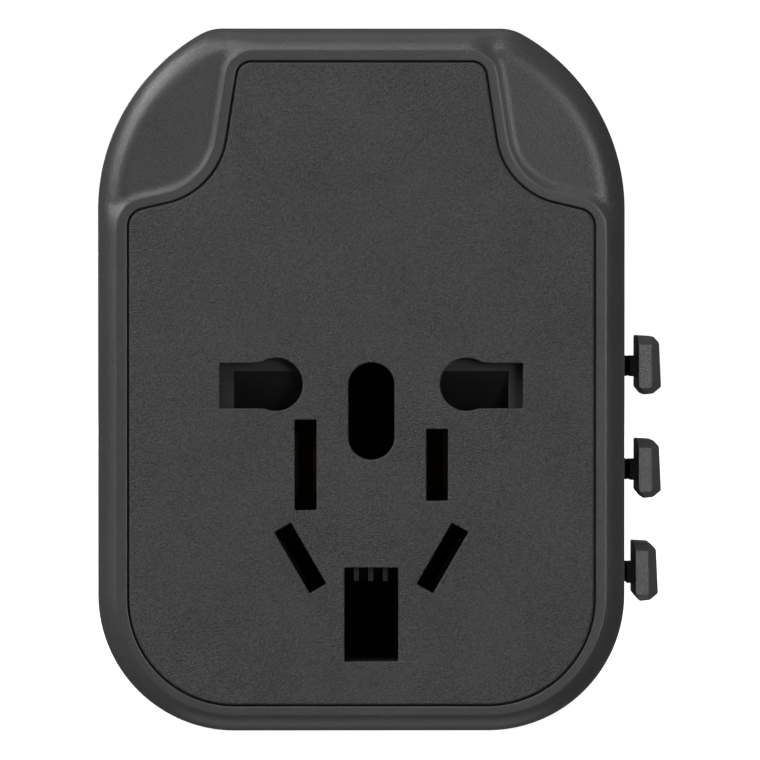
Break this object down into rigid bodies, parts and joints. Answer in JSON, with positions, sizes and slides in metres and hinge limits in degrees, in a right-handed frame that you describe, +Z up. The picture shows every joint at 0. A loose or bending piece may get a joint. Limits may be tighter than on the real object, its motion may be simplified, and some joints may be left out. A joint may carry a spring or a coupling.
{
  "type": "universal travel adapter",
  "caption": "Block-shaped universal travel adapter with a multi-standard socket on the front and sliding sets of plug pins at the back.",
  "frame": {"origin": "centre of the flat bottom end", "axes": "+Z up along the body's long direction, socket face towards -Y, plug face and pins towards +Y, slide knobs on the +X side"},
  "size_m": [0.0558, 0.055, 0.068],
  "materials": {
    "casing": "satin moulded, fine grain",
    "panel": "spark-textured",
    "inner_moulding": "matt",
    "shutter_plastic": "matt",
    "carriage_plastic": "matt",
    "knob_plastic": "satin",
    "pin_plastic": "satin",
    "plated_pin": "nickel plated",
    "brass": "rolled strip",
    "fuse_body": "glazed",
    "spring_steel": "drawn wire",
    "bright_steel": "zinc plated"
  },
  "bodies": {
    "housing": {"front_housing": "casing", "rear_housing": "casing", "front_panel": "panel", "contact_base": "inner_moulding", "mid_plate": "inner_moulding", "line_contact": "brass", "neutral_contact": "brass", "line_bus_bar": "brass", "neutral_bus_bar": "brass", "fuse": "fuse_body", "fuse_input_clip": "brass", "fuse_output_clip": "brass", "housing_screws": "bright_steel", "shutter_springs": "spring_steel"},
    "shutter": {"shutter": "shutter_plastic"},
    "uk_set": {"uk_carriage": "carriage_plastic", "uk_line_pin": "plated_pin", "uk_neutral_pin": "plated_pin", "uk_earth_pin": "pin_plastic", "uk_line_sleeve": "pin_plastic", "uk_neutral_sleeve": "pin_plastic", "uk_line_wiper": "brass", "uk_neutral_wiper": "brass", "uk_knob_spring": "spring_steel"},
    "uk_knob": {"uk_knob": "knob_plastic"},
    "us_set": {"us_carriage": "carriage_plastic", "us_line_wiper": "brass", "us_neutral_wiper": "brass", "us_knob_spring": "spring_steel"},
    "us_knob": {"us_knob": "knob_plastic"},
    "us_line_blade": {"us_line_blade": "plated_pin", "us_line_clip": "bright_steel"},
    "us_neutral_blade": {"us_neutral_blade": "plated_pin", "us_neutral_clip": "bright_steel"},
    "eu_set": {"eu_carriage": "carriage_plastic", "eu_line_pin": "plated_pin", "eu_neutral_pin": "plated_pin", "eu_line_sleeve": "pin_plastic", "eu_neutral_sleeve": "pin_plastic", "eu_line_wiper": "brass", "eu_neutral_wiper": "brass", "eu_knob_spring": "spring_steel"},
    "eu_knob": {"eu_knob": "knob_plastic"}
  },
  "joints": [
    {"name": "shutter_slide", "type": "slide", "parent": "housing", "child": "shutter", "axis": [0, 0, 1], "range_m": [0, 0.0052], "stiffness_N_per_m": 60, "springref_m": -0.004, "deforming": ["shutter_springs"]},
    {"name": "uk_set_slide", "type": "slide", "parent": "housing", "child": "uk_set", "axis": [0, 1, 0], "range_m": [0, 0.023]},
    {"name": "uk_knob_press", "type": "slide", "parent": "uk_set", "child": "uk_knob", "axis": [-1, 0, 0], "range_m": [0, 0.0012], "stiffness_N_per_m": 800, "deforming": ["uk_knob_spring"]},
    {"name": "us_set_slide", "type": "slide", "parent": "housing", "child": "us_set", "axis": [0, 1, 0], "range_m": [0, 0.023]},
    {"name": "us_knob_press", "type": "slide", "parent": "us_set", "child": "us_knob", "axis": [-1, 0, 0], "range_m": [0, 0.0012], "stiffness_N_per_m": 800, "deforming": ["us_knob_spring"]},
    {"name": "eu_set_slide", "type": "slide", "parent": "housing", "child": "eu_set", "axis": [0, 1, 0], "range_m": [0, 0.023]},
    {"name": "eu_knob_press", "type": "slide", "parent": "eu_set", "child": "eu_knob", "axis": [-1, 0, 0], "range_m": [0, 0.0012], "stiffness_N_per_m": 800, "deforming": ["eu_knob_spring"]},
    {"name": "us_line_blade_turn", "type": "hinge", "parent": "us_set", "child": "us_line_blade", "pos_m": [-0.00635, 0, 0.0246], "axis": [0, 1, 0], "range_deg": [0, 30]},
    {"name": "us_neutral_blade_turn", "type": "hinge", "parent": "us_set", "child": "us_neutral_blade", "pos_m": [0.00635, 0, 0.0246], "axis": [0, -1, 0], "range_deg": [0, 30]}
  ]
}
